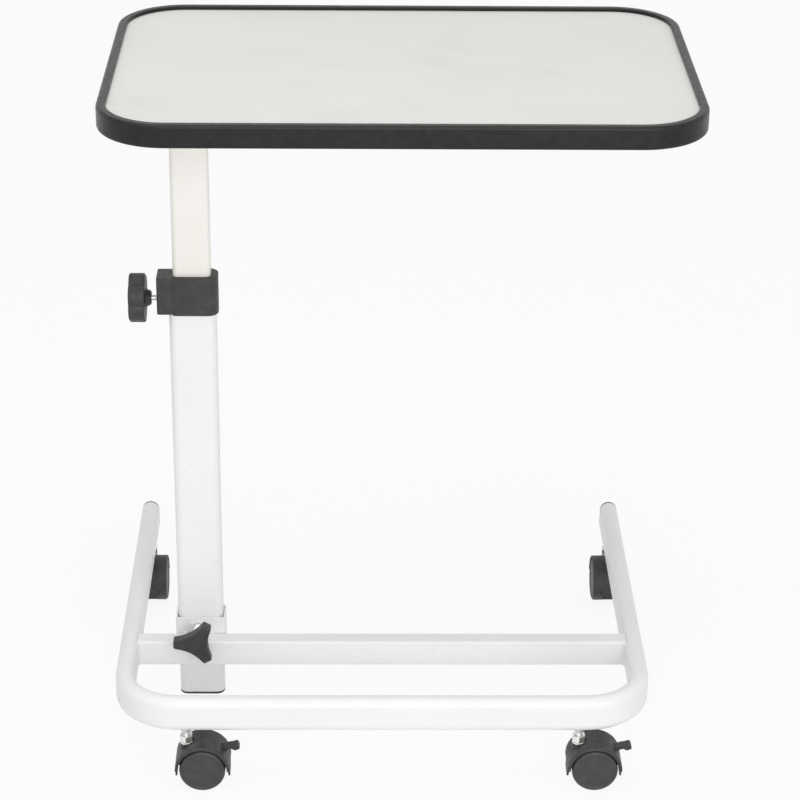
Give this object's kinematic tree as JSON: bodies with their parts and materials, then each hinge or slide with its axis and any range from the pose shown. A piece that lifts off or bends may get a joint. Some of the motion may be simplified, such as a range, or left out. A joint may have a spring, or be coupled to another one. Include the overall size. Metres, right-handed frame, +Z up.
{
  "type": "overbed table",
  "caption": "Overbed table: pale laminate top with a raised black edge on a telescopic side column, two clamp knobs and a U base on twin-wheel casters.",
  "frame": {"origin": "On the floor, under the middle of the overall box", "axes": "+X along the tabletop away from the column, +Y from the front tube to the open end of the base, +Z up"},
  "size_m": [0.614, 0.47, 0.755],
  "materials": {
    "laminate_top": "satin pale grey laminate on board",
    "black_edge": "semi-gloss black moulded edge",
    "ivory_paint": "warm white powder coat",
    "white_paint": "white powder coat",
    "black_plastic": "matt moulded black plastic",
    "wheel_plastic": "satin moulded black plastic",
    "zinc": "bright zinc plate",
    "steel": "plain steel",
    "nylon": "natural nylon"
  },
  "bodies": {
    "base": {"base_frame": "white_paint", "cross_bar": "white_paint", "column_socket": "white_paint", "socket_weld_nut": "white_paint", "arm_plug_left": "black_plastic", "arm_plug_right": "black_plastic", "caster_bush_front_left": "steel", "caster_bush_front_right": "steel", "caster_bush_rear_left": "steel", "caster_bush_rear_right": "steel", "caster_stem_front_left": "zinc", "caster_stem_front_right": "zinc", "caster_stem_rear_left": "zinc", "caster_stem_rear_right": "zinc", "caster_nut_front_left": "zinc", "caster_nut_front_right": "zinc", "caster_nut_rear_left": "zinc", "caster_nut_rear_right": "zinc"},
    "lower_mast": {"lower_column": "white_paint", "column_end_plug": "black_plastic", "clamp_collar": "black_plastic", "collar_nut": "zinc"},
    "upper_mast": {"upper_column": "ivory_paint", "column_glide": "nylon", "support_rail": "white_paint", "rail_plug_left": "black_plastic", "rail_plug_right": "black_plastic", "support_strap_left": "white_paint", "support_strap_right": "white_paint", "tabletop_board": "laminate_top", "edge_trim": "black_edge", "wood_screw_left_front": "zinc", "wood_screw_left_rear": "zinc", "wood_screw_right_front": "zinc", "wood_screw_right_rear": "zinc"},
    "height_screw": {"height_screw_tip": "nylon"},
    "height_handle": {"height_knob": "black_plastic", "height_knob_stud": "zinc"},
    "socket_screw": {"socket_screw_tip": "nylon"},
    "socket_handle": {"socket_knob": "black_plastic", "socket_knob_stud": "zinc"},
    "caster_front_left": {"caster_hood_front_left": "black_plastic", "caster_axle_front_left": "steel"},
    "wheel_front_left_a": {"caster_wheel_front_left_a": "wheel_plastic"},
    "wheel_front_left_b": {"caster_wheel_front_left_b": "wheel_plastic"},
    "brake_front_left": {"brake_lever_front_left": "black_plastic"},
    "caster_front_right": {"caster_hood_front_right": "black_plastic", "caster_axle_front_right": "steel"},
    "wheel_front_right_a": {"caster_wheel_front_right_a": "wheel_plastic"},
    "wheel_front_right_b": {"caster_wheel_front_right_b": "wheel_plastic"},
    "brake_front_right": {"brake_lever_front_right": "black_plastic"},
    "caster_rear_left": {"caster_hood_rear_left": "black_plastic", "caster_axle_rear_left": "steel"},
    "wheel_rear_left_a": {"caster_wheel_rear_left_a": "wheel_plastic"},
    "wheel_rear_left_b": {"caster_wheel_rear_left_b": "wheel_plastic"},
    "caster_rear_right": {"caster_hood_rear_right": "black_plastic", "caster_axle_rear_right": "steel"},
    "wheel_rear_right_a": {"caster_wheel_rear_right_a": "wheel_plastic"},
    "wheel_rear_right_b": {"caster_wheel_rear_right_b": "wheel_plastic"}
  },
  "joints": [
    {"name": "column_slide", "type": "slide", "parent": "base", "child": "lower_mast", "axis": [0, 0, 1], "range_m": [-0.012, 0.04]},
    {"name": "height_slide", "type": "slide", "parent": "lower_mast", "child": "upper_mast", "axis": [0, 0, 1], "range_m": [-0.155, 0.19]},
    {"name": "height_screw_travel", "type": "slide", "parent": "lower_mast", "child": "height_screw", "axis": [-1, 0, 0], "range_m": [0, 0.002]},
    {"name": "height_knob_turn", "type": "hinge", "parent": "height_screw", "child": "height_handle", "pos_m": [-0.261, -0.0578, 0.5016], "axis": [-1, 0, 0], "range_deg": [0, 720]},
    {"name": "socket_screw_travel", "type": "slide", "parent": "base", "child": "socket_screw", "axis": [0, -1, 0], "range_m": [0, 0.0025]},
    {"name": "socket_knob_turn", "type": "hinge", "parent": "socket_screw", "child": "socket_handle", "pos_m": [-0.2135, -0.1127, 0.11152], "axis": [0, -1, 0], "range_deg": [0, 720]},
    {"name": "swivel_front_left", "type": "hinge", "parent": "base", "child": "caster_front_left", "pos_m": [-0.22, -0.215, 0.05003], "axis": [0, 0, 1], "continuous": true},
    {"name": "roll_front_left_a", "type": "hinge", "parent": "caster_front_left", "child": "wheel_front_left_a", "pos_m": [-0.2025, -0.215, 0.02479], "axis": [0, 1, 0], "continuous": true},
    {"name": "roll_front_left_b", "type": "hinge", "parent": "caster_front_left", "child": "wheel_front_left_b", "pos_m": [-0.2025, -0.215, 0.02479], "axis": [0, 1, 0], "continuous": true},
    {"name": "brake_press_front_left", "type": "hinge", "parent": "caster_front_left", "child": "brake_front_left", "pos_m": [-0.18318, -0.215, 0.04218], "axis": [0, 1, 0], "range_deg": [0, 14]},
    {"name": "swivel_front_right", "type": "hinge", "parent": "base", "child": "caster_front_right", "pos_m": [0.202, -0.215, 0.05003], "axis": [0, 0, 1], "continuous": true},
    {"name": "roll_front_right_a", "type": "hinge", "parent": "caster_front_right", "child": "wheel_front_right_a", "pos_m": [0.2195, -0.215, 0.02479], "axis": [0, 1, 0], "continuous": true},
    {"name": "roll_front_right_b", "type": "hinge", "parent": "caster_front_right", "child": "wheel_front_right_b", "pos_m": [0.2195, -0.215, 0.02479], "axis": [0, 1, 0], "continuous": true},
    {"name": "brake_press_front_right", "type": "hinge", "parent": "caster_front_right", "child": "brake_front_right", "pos_m": [0.23882, -0.215, 0.04218], "axis": [0, 1, 0], "range_deg": [0, 14]},
    {"name": "swivel_rear_left", "type": "hinge", "parent": "base", "child": "caster_rear_left", "pos_m": [-0.287, 0.204, 0.05003], "axis": [0, 0, 1], "continuous": true},
    {"name": "roll_rear_left_a", "type": "hinge", "parent": "caster_rear_left", "child": "wheel_rear_left_a", "pos_m": [-0.287, 0.1865, 0.02479], "axis": [1, 0, 0], "continuous": true},
    {"name": "roll_rear_left_b", "type": "hinge", "parent": "caster_rear_left", "child": "wheel_rear_left_b", "pos_m": [-0.287, 0.1865, 0.02479], "axis": [1, 0, 0], "continuous": true},
    {"name": "swivel_rear_right", "type": "hinge", "parent": "base", "child": "caster_rear_right", "pos_m": [0.269, 0.204, 0.05003], "axis": [0, 0, 1], "continuous": true},
    {"name": "roll_rear_right_a", "type": "hinge", "parent": "caster_rear_right", "child": "wheel_rear_right_a", "pos_m": [0.26931, 0.1865, 0.02479], "axis": [0.9998, 0.0175, 0], "continuous": true},
    {"name": "roll_rear_right_b", "type": "hinge", "parent": "caster_rear_right", "child": "wheel_rear_right_b", "pos_m": [0.26931, 0.1865, 0.02479], "axis": [0.9998, 0.0175, 0], "continuous": true}
  ],
  "couplings": [
    {"joint": "height_knob_turn", "follows": "height_screw_travel", "rad_per_m": 6283.2},
    {"joint": "socket_knob_turn", "follows": "socket_screw_travel", "rad_per_m": 4188.8}
  ]
}
